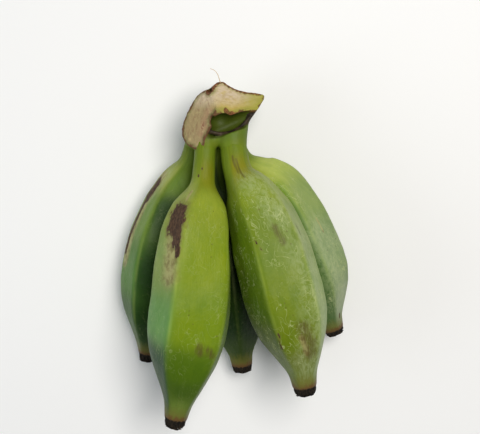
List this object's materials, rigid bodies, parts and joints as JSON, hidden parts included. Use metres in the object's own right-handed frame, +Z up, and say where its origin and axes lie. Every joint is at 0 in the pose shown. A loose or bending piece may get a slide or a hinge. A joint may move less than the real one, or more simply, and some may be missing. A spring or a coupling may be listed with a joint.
{
  "type": "hand of green bananas",
  "caption": "Hand of blunt-ridged green cooking bananas in two rows on one knife-cut crown, lying on its lower row.",
  "frame": {"origin": "middle of the overall box in plan, at the level the lower bananas rest on", "axes": "+Z up, -Y from the crown toward the flower ends, +X to the right as seen from above with the crown at the top"},
  "size_m": [0.1297, 0.1861, 0.0827],
  "materials": {
    "green_skin": "satin green peel, waxy, with a few brown scuffs",
    "cut_crown": "matt fibrous knife cut, tan, with green peel round it"
  },
  "bodies": {
    "root": {"crown": "cut_crown", "finger_upper_left": "green_skin", "finger_upper_right": "green_skin", "finger_lower_left": "green_skin", "finger_lower_middle": "green_skin", "finger_lower_right": "green_skin"}
  },
  "joints": []
}
